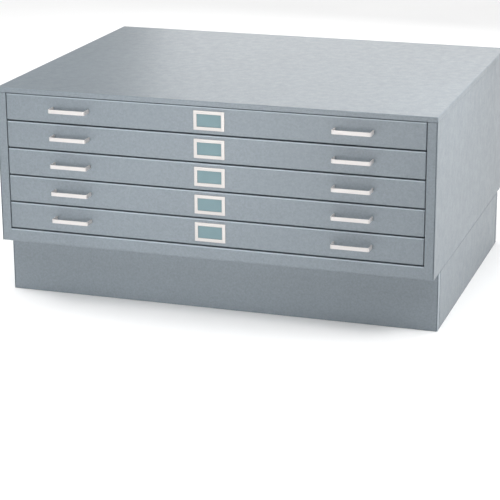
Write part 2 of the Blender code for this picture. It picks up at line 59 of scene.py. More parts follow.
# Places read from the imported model
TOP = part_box("top_panel")
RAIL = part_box("bottom_rail")
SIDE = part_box("right_side_panel")
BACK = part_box("back_panel")
BASE_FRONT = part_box("base_front_panel")
BASE_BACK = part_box("base_back_panel")
BASE_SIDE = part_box("base_right_panel")
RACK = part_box("right_runner_rack")
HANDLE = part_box("drawer_1_handle_right")
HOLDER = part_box("drawer_1_label_holder")
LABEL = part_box("drawer_1_label_card")
FRONT_Y = RAIL[0].y
HALF_OPENING = RAIL[1].x + GAP
DRAWERS = range(1, 6)

# Stiles and base
STILE_LIP = 0.014                  # flange of a stile, behind the front
FLANGE_NOTCH = 0.0025              # from that flange to the flanges of the side panel
CORNER_RETURN = 0.008              # what a base corner turns in at the groove
GROOVE = 0.004                     # between a base corner and the base's side panel
TONGUE_DEPTH = 0.0050              # of the sheet that closes the groove, below the side's face
TONGUE_INSET = 0.003               # above and below that sheet

# Bolts
BOLT_HEAD = 0.005                  # height of a head or nut with its washer
BOLT_ACROSS = 0.013                # across the flats
BOLT_CHAMFER = 0.0007
BOLT_SHANK = 0.0038                # radius
BOLT_TIP = (0.0006, 0.0032)        # length and end radius of its taper
WASHER = (0.0012, 0.0074)          # thickness, radius

# Runners, heights from the floor of a channel
CHANNEL_SHEET = 0.0015
CHANNEL_WEB = HALF_OPENING - 0.0015
CHANNEL_TIP = RACK[0].x
CHANNEL_HEIGHT = 0.0226
CHANNEL_FLOOR = 0.024              # above the bottom of a drawer's space
CHANNEL_ENDS = (FRONT_Y + 0.032, TOP[1].y - 0.045)
POST_WIDTH = 0.020
POST_STARTS = (FRONT_Y + 0.030, TOP[1].y - 0.070)
STOP = (0.010, 0.0020, 0.0196)     # width, thickness, height of its lower edge
STOP_REVEAL = (0.001, 0.0001)      # from a stop to the web and to the channel's ceiling
CHANNEL_BEND = 0.0012
TRAVEL = 0.640
REAR_ROLLER = (0.0096, 0.011, 0.0033)  # width, radius, bore
REAR_ROLLER_INSET = 0.025          # from the back of the tray
REAR_ROLLER_OUT = 0.0083           # from the side of the tray
FRONT_ROLLER = (0.009, 0.0085, 0.0022)  # width, radius, bore
FRONT_ROLLER_PLACE = (0.006, 0.012, 0.0088)  # from the web, the channel's end and its floor
FRONT_PIN_ENDS = (0.0108, 0.0111)  # where its chamfer starts and ends, from the web
FRONT_PIN_TIP = 0.0018             # radius
RIVET_CLEARANCE = 0.014            # at least this far behind the front roller's axis

# Drawer, from the front face of the cabinet and the bottom of the drawer's space
TRAY_HALF = HALF_OPENING - 0.017
TRAY_Y = (0.016, 0.842)
TRAY_Z = (0.005, 0.061)
HOOD_DEPTH = 0.100
FACE_Y = (0.0005, 0.0157)          # face of a drawer front and end of its folded edges
HINGE = (0.028, 0.052)
DEPRESSOR_LENGTH = 0.165
DEPRESSOR_LOW_END = 0.008
CLEARANCE = 0.0016                 # from a drawer front to the limits of its space
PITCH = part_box("drawer_1_front")[0].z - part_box("drawer_2_front")[0].z
HIGHLIGHT_BAND = (0.0036, 0.0028, 0.0010, 0.0005)  # the painted highlight band on a top fold, as distances below a top edge

# Parts on a drawer
HEM = (0.009, 0.0008, 0.0004)      # height, thickness, distance below the wall's edge
HEM_EDGE = 0.0003
ANGLE_Z = 0.0176                   # of the tray's running angle, above the channel's floor
ANGLE_LEGS = (0.013, 0.0072)       # out from the tray, and up along it
ANGLE_INSETS = (0.018, 0.038)      # from the front and the back of the tray
ANGLE_BEND = 0.0008
SPOT_GAP = 0.00005                 # between the angle and the tray's wall
STRAP = 0.0030                     # thickness of a handle's strap
STRAP_BEND = 0.0048                # outer radius
STRAP_EDGE = 0.0006
SCREW_INSET = 0.006                # from the end of a handle to its screw
DEPRESSOR_GAPS = (0.0035, 0.0030)  # from the tray's wall to the plate and to the rod's full width
ROD_RADIUS = 0.0036
PIN_RADIUS = 0.0030
HINGE_LEAF = 0.016                 # from the axis to the start of the slope
CURL = 0.0025                      # radius of the curled rear edge
RIB_SPACING = 0.22
RIB_SIZE = (0.006, 0.052, 0.0014)  # half width, half length of its straight part, height
RIB_PLACE = 0.088                  # middle of a rib, along the slope


# ---------------------------------------------------------------- materials

def node_material(name):
    """An empty node material. Returns the material, its tree and its Principled shader."""
    material = bpy.data.materials.new(name)
    material.use_nodes = True
    tree = material.node_tree
    return material, tree, tree.nodes["Principled BSDF"]


def noise(tree, scale, detail=2.0, roughness=0.5, stretch=(1.0, 1.0, 1.0)):
    """Noise in the piece's own coordinates. Scale is in waves a metre."""
    place = tree.nodes.new("ShaderNodeTexCoord")
    mapping = tree.nodes.new("ShaderNodeMapping")
    mapping.inputs["Scale"].default_value = stretch
    texture = tree.nodes.new("ShaderNodeTexNoise")
    texture.inputs["Scale"].default_value = scale
    texture.inputs["Detail"].default_value = detail
    texture.inputs["Roughness"].default_value = roughness
    tree.links.new(place.outputs["Object"], mapping.inputs["Vector"])
    tree.links.new(mapping.outputs["Vector"], texture.inputs["Vector"])
    return texture.outputs["Fac"]


def ramp(tree, value, low, high, start=0.3, end=0.7):
    """Turn a value into a colour or a grey between low and high."""
    node = tree.nodes.new("ShaderNodeValToRGB")
    for element, position, color in zip(node.color_ramp.elements, (start, end), (low, high)):
        element.position = position
        element.color = (*color, 1.0)
    tree.links.new(value, node.inputs["Fac"])
    return node.outputs["Color"]


def grey(value):
    """The same value for red, green and blue."""
    return (value, value, value)


def painted_edge_highlight(tree, color, lighter, height):
    """The colour, with a lighter band painted near the top edge of a piece: a painted highlight for
    the light its top fold catches.
    """
    place = tree.nodes.new("ShaderNodeTexCoord")
    split = tree.nodes.new("ShaderNodeSeparateXYZ")
    tree.links.new(place.outputs["Generated"], split.inputs["Vector"])
    start, full, fade, end = [1.0 - depth / height for depth in HIGHLIGHT_BAND]
    band = tree.nodes.new("ShaderNodeValToRGB")
    stops = band.color_ramp.elements
    stops[0].position, stops[0].color = start, (*grey(0.0), 1.0)
    stops[1].position, stops[1].color = end, (*grey(0.0), 1.0)
    for position in (full, fade):
        stops.new(position).color = (*grey(1.0), 1.0)
    tree.links.new(split.outputs["Z"], band.inputs["Fac"])
    node = tree.nodes.new("ShaderNodeMix")
    node.data_type = "RGBA"
    node.inputs["B"].default_value = (*lighter, 1.0)
    tree.links.new(band.outputs["Color"], node.inputs["Factor"])
    tree.links.new(color, node.inputs["A"])
    return node.outputs["Result"]


def multiply(tree, first, second):
    """Multiply two colours."""
    node = tree.nodes.new("ShaderNodeMix")
    node.data_type = "RGBA"
    node.blend_type = "MULTIPLY"
    node.inputs["Factor"].default_value = 1.0
    tree.links.new(first, node.inputs["A"])
    tree.links.new(second, node.inputs["B"])
    return node.outputs["Result"]


def bump(tree, height, strength, distance, under=None):
    """A bump from a height, on top of another bump if one is given."""
    node = tree.nodes.new("ShaderNodeBump")
    node.inputs["Strength"].default_value = strength
    node.inputs["Distance"].default_value = distance
    tree.links.new(height, node.inputs["Height"])
    if under:
        tree.links.new(under, node.inputs["Normal"])
    return node.outputs["Normal"]


def scaled(color, factor):
    """A colour made lighter or darker."""
    return tuple(min(1.0, channel * factor) for channel in color)


def enamel(name, color, roughness, highlight_height=None):
    """Baked enamel: a faint mottle, an orange-peel skin and slightly wavy sheet under it.

    The height of a piece is given where its top edge gets a painted highlight band.
    """
    material, tree, shader = node_material(name)
    mottle = ramp(tree, noise(tree, 190.0, 3.0, 0.75), scaled(color, 0.88), scaled(color, 1.12))
    drift = ramp(tree, noise(tree, 3.5, 2.0), grey(0.965), grey(1.0))
    paint = multiply(tree, mottle, drift)
    if highlight_height:
        # Painted highlight: the band along the top fold is made 1.8 times lighter to stand in for
        # the light the fold catches.
        paint = painted_edge_highlight(tree, paint, scaled(color, 1.8), highlight_height)
    tree.links.new(paint, shader.inputs["Base Color"])
    gloss = ramp(tree, noise(tree, 45.0, 4.0), grey(roughness - 0.04), grey(roughness + 0.05))
    tree.links.new(gloss, shader.inputs["Roughness"])
    waves = bump(tree, noise(tree, 5.0, 1.0), strength=0.5, distance=0.0006)
    peel = bump(tree, noise(tree, 420.0, 2.0), strength=0.16, distance=0.0003, under=waves)
    tree.links.new(peel, shader.inputs["Normal"])
    shader.inputs["Specular IOR Level"].default_value = 0.5
    shader.inputs["Coat Weight"].default_value = 0.10
    shader.inputs["Coat Roughness"].default_value = 0.22
    return material


def plated(name, color, roughness, grain, metallic):
    """Plating with a fine drawn grain. Below 1, metallic lets a brushed skin scatter light."""
    material, tree, shader = node_material(name)
    lines = noise(tree, 900.0, 3.0, 0.6, grain)
    tree.links.new(ramp(tree, lines, scaled(color, 0.94), color), shader.inputs["Base Color"])
    gloss = ramp(tree, noise(tree, 60.0, 3.0), grey(roughness - 0.03), grey(roughness + 0.06))
    tree.links.new(gloss, shader.inputs["Roughness"])
    skin = bump(tree, lines, strength=0.10, distance=0.0001)
    tree.links.new(skin, shader.inputs["Normal"])
    shader.inputs["Metallic"].default_value = metallic
    return material


def galvanised(name, color):
    """Zinc plated steel with its soft spangle."""
    material, tree, shader = node_material(name)
    place = tree.nodes.new("ShaderNodeTexCoord")
    spangle = tree.nodes.new("ShaderNodeTexVoronoi")
    spangle.inputs["Scale"].default_value = 160.0
    tree.links.new(place.outputs["Object"], spangle.inputs["Vector"])
    dark, light = scaled(color, 0.86), scaled(color, 1.08)
    flakes = ramp(tree, spangle.outputs["Color"], dark, light, 0.1, 0.9)
    grime = ramp(tree, noise(tree, 14.0, 4.0), grey(0.86), grey(1.0))
    tree.links.new(multiply(tree, flakes, grime), shader.inputs["Base Color"])
    gloss = ramp(tree, spangle.outputs["Distance"], grey(0.30), grey(0.44), 0.0, 0.8)
    tree.links.new(gloss, shader.inputs["Roughness"])
    skin = bump(tree, noise(tree, 300.0, 3.0), strength=0.08, distance=0.0002)
    tree.links.new(skin, shader.inputs["Normal"])
    shader.inputs["Metallic"].default_value = 1.0
    return material


def paper_card(name, color):
    """Matt card with visible fibres."""
    material, tree, shader = node_material(name)
    fibres = noise(tree, 1400.0, 4.0, 0.7, (0.35, 1.0, 1.0))
    base = ramp(tree, fibres, scaled(color, 0.93), scaled(color, 1.05))
    drift = ramp(tree, noise(tree, 30.0, 2.0), grey(0.95), grey(1.0))
    tree.links.new(multiply(tree, base, drift), shader.inputs["Base Color"])
    tree.links.new(ramp(tree, fibres, grey(0.62), grey(0.74)), shader.inputs["Roughness"])
    skin = bump(tree, fibres, strength=0.12, distance=0.0001)
    tree.links.new(skin, shader.inputs["Normal"])
    shader.inputs["Specular IOR Level"].default_value = 0.35
    return material


ENAMEL_GREY = (0.202, 0.237, 0.266)
PAINT = enamel("grey_enamel", ENAMEL_GREY, 0.40)
# The fronts and the rail carry a painted highlight band along their top folds.
FRONT_PAINT = enamel("grey_enamel_fronts", ENAMEL_GREY, 0.36, PITCH - 2 * CLEARANCE)
RAIL_PAINT = enamel("grey_enamel_rail", ENAMEL_GREY, 0.36, RAIL[1].z - RAIL[0].z)
# Painted highlight: the base's corner strips use the same enamel made 1.55 times lighter, to stand
# in for the light their edges catch.
CORNER_HIGHLIGHT_PAINT = enamel("grey_enamel_corners_painted_highlight", scaled(ENAMEL_GREY, 1.55), 0.34)
INNER_PAINT = enamel("grey_enamel_inside", ENAMEL_GREY, 0.48)
GRAIN = (0.04, 1.0, 1.0)           # drawn out along X
CHROME = plated("bright_chrome", (0.63, 0.605, 0.595), 0.36, GRAIN, 0.25)
LABEL_CHROME = plated("bright_chrome_labels", (0.585, 0.56, 0.545), 0.36, GRAIN, 0.25)
STEEL = galvanised("plated_steel", (0.56, 0.57, 0.58))
ROLLER = plated("roller_steel", (0.62, 0.62, 0.62), 0.24, (1.0, 1.0, 1.0), 1.0)
CARD = paper_card("label_card", (0.182, 0.274, 0.299))


# ---------------------------------------------------------------- shapes

def box(low, high):
    """A closed box between two corners."""
    bm = bmesh.new()
    bmesh.ops.create_cube(bm, size=1.0)
    low, high = Vector(low), Vector(high)
    bmesh.ops.scale(bm, vec=high - low, verts=bm.verts)
    bmesh.ops.translate(bm, vec=(low + high) / 2, verts=bm.verts)
    bm.normal_update()
    return bm


def cut_across(bm, point, normal):
    """Cut every face of a shape along a plane."""
    everything = list(bm.verts) + list(bm.edges) + list(bm.faces)
    bmesh.ops.bisect_plane(bm, geom=everything, plane_co=point, plane_no=normal)
    bm.normal_update()


def open_box(low, high, side, kept_behind=None):
    """A box without the face towards side, or with only what lies behind a y of that face."""
    bm = box(low, high)
    if kept_behind is not None:
        cut_across(bm, (0.0, kept_behind, 0.0), (0.0, 1.0, 0.0))
    doomed = [face for face in bm.faces if face.normal.dot(Vector(side)) > 0.9]
    if kept_behind is not None:
        doomed = [face for face in doomed if face.calc_center_median().y < kept_behind]
    bmesh.ops.delete(bm, geom=doomed, context="FACES")
    return bm


def strip(path, axis, low, high):
    """A strip along 2D points, drawn out along an axis. Its faces look to the right of the path.

    The path's plane is YZ for axis X, ZX for axis Y and XY for axis Z.
    """
    bm = bmesh.new()
    order = {"X": (1, 2, 0), "Y": (2, 0, 1), "Z": (0, 1, 2)}[axis]
    rows = []
    for height in (low, high):
        row = []
        for u, v in path:
            place = [0.0, 0.0, 0.0]
            place[order[0]], place[order[1]], place[order[2]] = u, v, height
            row.append(bm.verts.new(place))
        rows.append(row)
    for i in range(len(path) - 1):
        bm.faces.new((rows[0][i], rows[0][i + 1], rows[1][i + 1], rows[1][i]))
    bm.normal_update()
    return bm


def rounded_path(points, radius, steps=8):
    """The same path with an arc in place of each inner corner."""
    path = [Vector(points[0])]
    for before, corner, after in zip(points, points[1:], points[2:]):
        corner = Vector(corner)
        towards = (Vector(before) - corner).normalized()
        away = (Vector(after) - corner).normalized()
        half = towards.angle(away) / 2
        centre = corner + (towards + away).normalized() * (radius / math.sin(half))
        start = corner + towards * (radius / math.tan(half)) - centre
        end = corner + away * (radius / math.tan(half)) - centre
        turn = start.angle_signed(end)
        for i in range(steps + 1):
            path.append(centre + Matrix.Rotation(-turn * i / steps, 2) @ start)
    path.append(Vector(points[-1]))
    return path


def turned(profile, steps=48, axis="X"):
    """A turned shape. The profile's points are (place along the axis, radius), high to low."""
    bm = bmesh.new()
    rings = []
    for place, radius in profile:
        ring = []
        for i in range(steps):
            angle = 2 * math.pi * i / steps
            point = (place, radius * math.cos(angle), radius * math.sin(angle))
            ring.append(bm.verts.new(point))
        rings.append(ring)
    for upper, lower in zip(rings, rings[1:]):
        for i in range(steps):
            j = (i + 1) % steps
            bm.faces.new((upper[i], lower[i], lower[j], upper[j]))
    if profile[0] != profile[-1]:
        bm.faces.new(rings[0])
        bm.faces.new(rings[-1])
    bmesh.ops.remove_doubles(bm, verts=bm.verts, dist=1e-6)
    bmesh.ops.recalc_face_normals(bm, faces=bm.faces)
    if axis == "Z":
        bmesh.ops.rotate(bm, verts=bm.verts, matrix=Matrix.Rotation(-math.pi / 2, 3, "Y"))
    return bm


def disc(low, high, radius, steps):
    """An upright disc between two heights."""
    return turned([(high, 0.0), (high, radius), (low, radius), (low, 0.0)], steps, "Z")


def moved(bm, offset):
    """Move a shape."""
    bmesh.ops.translate(bm, vec=Vector(offset), verts=bm.verts)
    return bm


def mirrored(bm):
    """A copy of a shape on the other side of the middle plane."""
    copy = bm.copy()
    bmesh.ops.scale(copy, vec=(-1.0, 1.0, 1.0), verts=copy.verts)
    bmesh.ops.reverse_faces(copy, faces=copy.faces)
    return copy


def merged(shapes):
    """Several shapes in one."""
    whole = bmesh.new()
    for bm in shapes:
        mesh = bpy.data.meshes.new("merge")
        bm.to_mesh(mesh)
        bm.free()
        whole.from_mesh(mesh)
        bpy.data.meshes.remove(mesh)
    return whole


# ---------------------------------------------------------------- pieces

def piece(name, bm, material, body="cabinet", stands_for=()):
    """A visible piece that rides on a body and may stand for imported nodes."""
    mesh = bpy.data.meshes.new(name)
    bm.to_mesh(mesh)
    bm.free()
    mesh.materials.append(material)
    mesh.shade_smooth()
    obj = bpy.data.objects.new(name, mesh)
    bpy.context.scene.collection.objects.link(obj)
    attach(obj, body)
    if stands_for:
        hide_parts(*stands_for)
    return obj


def soften(obj, width=EDGE, segments=2):
    """Round what is still sharp, and keep flat faces looking flat."""
    edges = obj.modifiers.new("edges", "BEVEL")
    edges.width = width
    edges.segments = segments
    edges.limit_method = "ANGLE"
    edges.angle_limit = math.radians(50)
    normals = obj.modifiers.new("normals", "WEIGHTED_NORMAL")
    normals.keep_sharp = True


def fold(obj, thickness, bend=None):
    """Round the folds of a sheet, give it its thickness and soften its cut edges."""
    if bend:
        bends = obj.modifiers.new("bends", "BEVEL")
        bends.width = bend
        bends.segments = BEND_SEGMENTS
        bends.limit_method = "ANGLE"
        bends.angle_limit = math.radians(30)
    sheet = obj.modifiers.new("sheet", "SOLIDIFY")
    sheet.thickness = thickness
    sheet.offset = -1.0
    sheet.use_even_offset = True
    soften(obj)


def sheet_piece(name, bm, material, thickness=SHEET, bend=BEND, **where):
    """A piece folded from sheet."""
    obj = piece(name, bm, material, **where)
    fold(obj, thickness, bend)
    return obj


def both_sides(bm):
    """A right-hand shape and its left-hand mirror image, with the words for their names."""
    return (("left", mirrored(bm)), ("right", bm))


# ---------------------------------------------------------------- cabinet shell

def side_skin(notch):
    """The right side panel's skin, with its flanges notched behind the stile."""
    low, high = SIDE
    bm = box(low, high)
    start = FRONT_Y + notch
    cut_across(bm, (0.0, start, 0.0), (0.0, 1.0, 0.0))
    doomed = []
    for face in bm.faces:
        flange_end = abs(face.normal.z) > 0.9 and face.calc_center_median().y < start
        if face.normal.x < -0.9 or face.normal.y < -0.9 or flange_end:
            doomed.append(face)
    bmesh.ops.delete(bm, geom=doomed, context="FACES")
    return bm


def make_shell():
    """Top, sides, back and bottom rail."""
    sheet_piece("cabinet_top", open_box(*TOP, (0, 0, -1)), PAINT, stands_for=["top_panel"])
    sheet_piece("cabinet_back", open_box(*BACK, (0, -1, 0)), PAINT, stands_for=["back_panel"])
    low, high = SIDE
    stile_high = (high.x - SHEET - SEAM, FRONT_Y + STILE_LIP, high.z)
    for hand, bm in both_sides(side_skin(STILE_LIP + FLANGE_NOTCH)):
        node = f"{hand}_side_panel"
        sheet_piece(f"cabinet_side_{hand}", bm, PAINT, bend=SIDE_BEND, stands_for=[node])
    for hand, bm in both_sides(open_box((low.x, FRONT_Y, low.z), stile_high, (0, 1, 0))):
        sheet_piece(f"cabinet_stile_{hand}", bm, PAINT, bend=SIDE_BEND)
    (_, front, low), (right, back, high) = RAIL
    path = [(back, high), (front, high), (front, low), (back, low)]
    rail = strip(path, "X", -right, right)
    sheet_piece("cabinet_rail", rail, RAIL_PAINT, stands_for=["bottom_rail"])
    filler = box((right - GAP, front + WELD, low + GAP), (right + BEND, front + SHEET, high - GAP))
    for hand, bm in both_sides(filler):
        soften(piece(f"rail_weld_{hand}", bm, PAINT), WELD / 2)


# ---------------------------------------------------------------- base

def make_base():
    """The closed base."""
    low, high = BASE_FRONT
    inset = Vector((SHEET + SEAM, 0.0, 0.0))
    front = open_box(low + inset, high - inset, (0, 1, 0))
    sheet_piece("base_front", front, PAINT, bend=SIDE_BEND, stands_for=["base_front_panel"])
    path = [(high.x, low.y), (high.x, high.y), (high.x - CORNER_RETURN, high.y)]
    for hand, bm in both_sides(strip(path, "Z", low.z, high.z)):
        # The corner strips carry the painted highlight enamel.
        sheet_piece(f"base_corner_{hand}", bm, CORNER_HIGHLIGHT_PAINT, bend=SIDE_BEND)
    sheet_piece(
        "base_back", open_box(*BASE_BACK, (0, -1, 0)), PAINT, stands_for=["base_back_panel"]
    )
    low, high = BASE_SIDE
    front = BASE_FRONT[1].y + GROOVE
    back = BASE_BACK[0].y - GROOVE
    side = open_box((low.x, front, low.z), (high.x, back, high.z), (-1, 0, 0))
    tongues = []
    outer = high.x - TONGUE_DEPTH
    bottom, top = low.z + TONGUE_INSET, high.z - TONGUE_INSET
    for y_low, y_high in ((low.y, front + SHEET / 2), (back - SHEET / 2, high.y)):
        tongues.append(box((outer - SHEET, y_low, bottom), (outer, y_high, top)))
    tongue = merged(tongues)
    for hand, bm in both_sides(side):
        node = f"base_{hand}_panel"
        sheet_piece(f"base_side_{hand}", bm, PAINT, bend=SHEET, stands_for=[node])
    for hand, bm in both_sides(tongue):
        soften(piece(f"base_tongue_{hand}", bm, PAINT))


def hexagon(z_low, z_high):
    """A hexagonal head or nut between two heights, chamfered on both faces."""
    radius = BOLT_ACROSS / math.sqrt(3)
    bm = bmesh.new()
    bmesh.ops.create_cone(
        bm, cap_ends=True, segments=6, radius1=radius, radius2=radius, depth=z_high - z_low
    )
    moved(bm, (0, 0, (z_low + z_high) / 2))
    rims = [edge for edge in bm.edges if abs(edge.verts[0].co.z - edge.verts[1].co.z) < 1e-6]
    bmesh.ops.bevel(
        bm, geom=rims, offset=BOLT_CHAMFER, segments=2, profile=0.5, affect="EDGES",
        clamp_overlap=True,
    )
    return bm


def make_bolts():
    """Hexagon bolts with washers and nuts between cabinet and base."""
    for place in ("front_left", "front_right", "back_left", "back_right"):
        node = f"{place}_bolt"
        low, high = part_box(node)
        x, y = (low.x + high.x) / 2, (low.y + high.y) / 2
        washer, washer_radius = WASHER
        head_low = high.z - BOLT_HEAD
        nut_high = BASE_SIDE[1].z - SHEET - GAP
        taper, tip = BOLT_TIP
        shank = turned([
            (head_low, 0.0), (head_low, BOLT_SHANK), (low.z + taper, BOLT_SHANK),
            (low.z, tip), (low.z, 0.0),
        ], 24, "Z")
        parts = [
            shank,
            hexagon(head_low + washer, high.z),
            hexagon(nut_high - BOLT_HEAD, nut_high - washer),
            disc(head_low, head_low + washer, washer_radius, 32),
            disc(nut_high - washer, nut_high, washer_radius, 32),
        ]
        obj = piece(f"bolt_{place}", moved(merged(parts), (x, y, 0.0)), STEEL, stands_for=[node])
        soften(obj, FINE_EDGE)


# ---------------------------------------------------------------- runners

def drawer_floor(number):
    """Bottom of the space of a drawer."""
    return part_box(f"drawer_{number}_front")[0].z - CLEARANCE


def roller_profile(width, radius, bore):
    """A ball bearing roller: crowned tread, recessed shields and a raised inner ring."""
    lip = radius * 0.76
    hub = bore + 0.0016
    rim = 0.0004
    recess = 0.0007
    middle = width / 2
    half = [
        (0.0, radius), (middle - 0.0012, radius - 0.00002), (middle - rim, radius - 0.00012),
        (middle, radius - 0.0005), (middle, lip), (middle - recess, lip - 0.0002),
        (middle - recess, hub + 0.0002), (middle - 0.0001, hub), (middle - 0.0001, bore),
    ]
    upper = [(place, r) for place, r in reversed(half)]
    lower = [(-place, r) for place, r in half[1:]]
    return upper + lower + [upper[0]]


def post(y):
    """An upright of a rack, open towards the side panel."""
    web = CHANNEL_WEB + CHANNEL_SHEET
    legs = RACK[1].x
    path = [(legs, y + POST_WIDTH), (web, y + POST_WIDTH), (web, y), (legs, y)]
    return strip(path, "Z", RACK[0].z, RACK[1].z)


def channel(floor):
    """A runner channel."""
    ceiling = floor + CHANNEL_HEIGHT
    tip, web = CHANNEL_TIP, CHANNEL_WEB
    path = [(floor, tip), (floor, web), (ceiling, web), (ceiling, tip)]
    return strip(rounded_path(path, CHANNEL_BEND, 4), "Y", *CHANNEL_ENDS)


def rivet(x, y, z):
    """A round rivet head on a web, facing the drawers."""
    profile = [(0.0002, 0.0), (0.0002, 0.0032), (0.0, 0.0032), (-0.0006, 0.0029),
               (-0.0010, 0.0020), (-0.0012, 0.0)]
    return moved(turned(profile, 20), (x, y, z))


def stop_back_y():
    """Back of the stop tabs, where the rear rollers touch them at full travel."""
    radius = REAR_ROLLER[1]
    drop = STOP[2] - CHANNEL_HEIGHT / 2
    contact = math.sqrt(radius ** 2 - drop ** 2)
    return FRONT_Y + TRAY_Y[1] - REAR_ROLLER_INSET - TRAVEL - contact - GAP


def front_roller(floor):
    """A front roller with its pin, on the right."""
    from_web, from_end, height = FRONT_ROLLER_PLACE
    place = (CHANNEL_WEB - from_web, CHANNEL_ENDS[0] + from_end, floor + height)
    shoulder, tip = [CHANNEL_WEB - distance for distance in FRONT_PIN_ENDS]
    bore = FRONT_ROLLER[2]
    roller = moved(turned(roller_profile(*FRONT_ROLLER)), place)
    pin = turned([
        (CHANNEL_WEB, 0.0), (CHANNEL_WEB, bore), (shoulder, bore), (tip, FRONT_PIN_TIP), (tip, 0.0),
    ], 24)
    return merged([roller, moved(pin, (0.0, *place[1:]))])


def make_racks():
    """Both runner racks: posts, channels, stops, rivets and front rollers."""
    floors = [drawer_floor(n) + CHANNEL_FLOOR for n in DRAWERS]
    posts = merged([post(y) for y in POST_STARTS])
    channels = merged([channel(floor) for floor in floors])
    stops, rivets = [], []
    roller_y = CHANNEL_ENDS[0] + FRONT_ROLLER_PLACE[1]
    width, thickness, lower = STOP
    stop_back = stop_back_y()
    outer = CHANNEL_WEB - STOP_REVEAL[0]
    for floor in floors:
        low = (outer - width, stop_back - thickness, floor + lower)
        stops.append(box(low, (outer, stop_back, floor + CHANNEL_HEIGHT - STOP_REVEAL[1])))
        for start in POST_STARTS:
            y = max(start + POST_WIDTH / 2, roller_y + RIVET_CLEARANCE)
            rivets.append(rivet(CHANNEL_WEB, y, floor + CHANNEL_HEIGHT / 2))
    for hand, bm in both_sides(posts):
        sheet_piece(f"rack_posts_{hand}", bm, STEEL, stands_for=[f"{hand}_runner_rack"])
    for hand, bm in both_sides(channels):
        sheet_piece(f"rack_channels_{hand}", bm, STEEL, thickness=CHANNEL_SHEET, bend=None)
    for hand, bm in both_sides(merged(stops)):
        soften(piece(f"rack_stops_{hand}", bm, STEEL))
    for hand, bm in both_sides(merged(rivets)):
        soften(piece(f"rack_rivets_{hand}", bm, STEEL), FINE_EDGE)
    for number, floor in zip(DRAWERS, floors):
        for hand, bm in both_sides(front_roller(floor)):
            soften(piece(f"front_roller_{number}_{hand}", bm, ROLLER), FINE_EDGE)


# ---------------------------------------------------------------- drawers

def drawer_front(place):
    """A drawer front with its folded edges."""
    half = HALF_OPENING - CLEARANCE
    low = (-half, FACE_Y[0], CLEARANCE)
    high = (half, FACE_Y[1], PITCH - CLEARANCE)
    return moved(open_box(low, high, (0, 1, 0)), place)


def tray_shell(place):
    """A tray with its rear hood."""
    low = (-TRAY_HALF, TRAY_Y[0], TRAY_Z[0])
    high = (TRAY_HALF, TRAY_Y[1], TRAY_Z[1])
    return moved(open_box(low, high, (0, 0, 1), kept_behind=TRAY_Y[1] - HOOD_DEPTH), place)


def tray_hems(place):
    """The turned-in hems along the tray's side and front walls."""
    height, thickness, below = HEM
    inner = TRAY_HALF - TRAY_SHEET
    top = TRAY_Z[1] - below
    front = TRAY_Y[0] + TRAY_SHEET
    hood = TRAY_Y[1] - HOOD_DEPTH
    hems = [box((-inner, front, top - height), (inner, front + thickness, top))]
    for low_x, high_x in ((-inner, thickness - inner), (inner - thickness, inner)):
        hems.append(box((low_x, front, top - height), (high_x, hood, top)))
    return moved(merged(hems), place)


def tray_rail(place):
    """The angle on a tray's right side that runs on the front roller."""
    out, up = ANGLE_LEGS
    z = CHANNEL_FLOOR + ANGLE_Z
    inner, outer = TRAY_HALF + SPOT_GAP, TRAY_HALF + out
    path = rounded_path([(z, outer), (z, inner), (z + up, inner)], ANGLE_BEND, 3)
    front, back = TRAY_Y[0] + ANGLE_INSETS[0], TRAY_Y[1] - ANGLE_INSETS[1]
    return moved(strip(path, "Y", front, back), place)


def roller_place():
    """Middle of the right rear roller, in the drawer's own coordinates."""
    y = TRAY_Y[1] - REAR_ROLLER_INSET
    return Vector((TRAY_HALF + REAR_ROLLER_OUT, y, CHANNEL_FLOOR + CHANNEL_HEIGHT / 2))


def tray_axle(place):
    """The stub axle of the right rear roller."""
    wall, shoulder = TRAY_HALF - 0.0002, TRAY_HALF + 0.0032
    head = TRAY_HALF + 0.0137
    profile = [(head + 0.0012, 0.0), (head + 0.0012, 0.0030), (head + 0.0007, 0.0043),
               (head, 0.0045), (head, 0.0030), (shoulder, 0.0030), (shoulder, 0.0048),
               (shoulder - 0.0002, 0.0050), (wall, 0.0050), (wall, 0.0)]
    bm = turned(profile, 32)
    moved(bm, (0.0, roller_place().y, roller_place().z))
    return moved(bm, place)


def middle_height(limits):
    """Middle of a part of drawer 1, above the bottom of the drawer's space."""
    low, high = limits
    return (low.z + high.z) / 2 - drawer_floor(1)


def strap_handle(x, place):
    """A strap bent to a flat U."""
    low, high = HANDLE
    half = (high.x - low.x) / 2
    reach = FRONT_Y - low.y
    foot = high.y - FRONT_Y
    corners = [(-half, foot), (-half, -reach), (half, -reach), (half, foot)]
    z = middle_height(HANDLE)
    height = high.z - low.z
    path = rounded_path(corners, STRAP_BEND, 10)
    bm = strip(path, "Z", z - height / 2, z + height / 2)
    return moved(bm, Vector((x, 0.0, 0.0)) + Vector(place))


def screw_head(x, z):
    """A pan head on the inside of the tray's front wall, with a shallow round recess."""
    profile = [(-0.0002, 0.0), (-0.0002, 0.0040), (0.0004, 0.0041), (0.0013, 0.0036),
               (0.0019, 0.0024), (0.0021, 0.0010), (0.0014, 0.0008), (0.0010, 0.0)]
    head = turned(profile, 24)
    bmesh.ops.rotate(head, verts=head.verts, matrix=Matrix.Rotation(math.pi / 2, 3, "Z"))
    return moved(head, (x, TRAY_Y[0] + TRAY_SHEET, z))


def handle_screws(place):
    """The heads of the screws that hold both handles, seen inside the tray."""
    low, high = HANDLE
    z = middle_height(HANDLE)
    middle = (low.x + high.x) / 2
    half = (high.x - low.x) / 2 - SCREW_INSET
    heads = []
    for side in (-1, 1):
        for end in (-1, 1):
            heads.append(screw_head(side * middle + end * half, z))
    return moved(merged(heads), place)


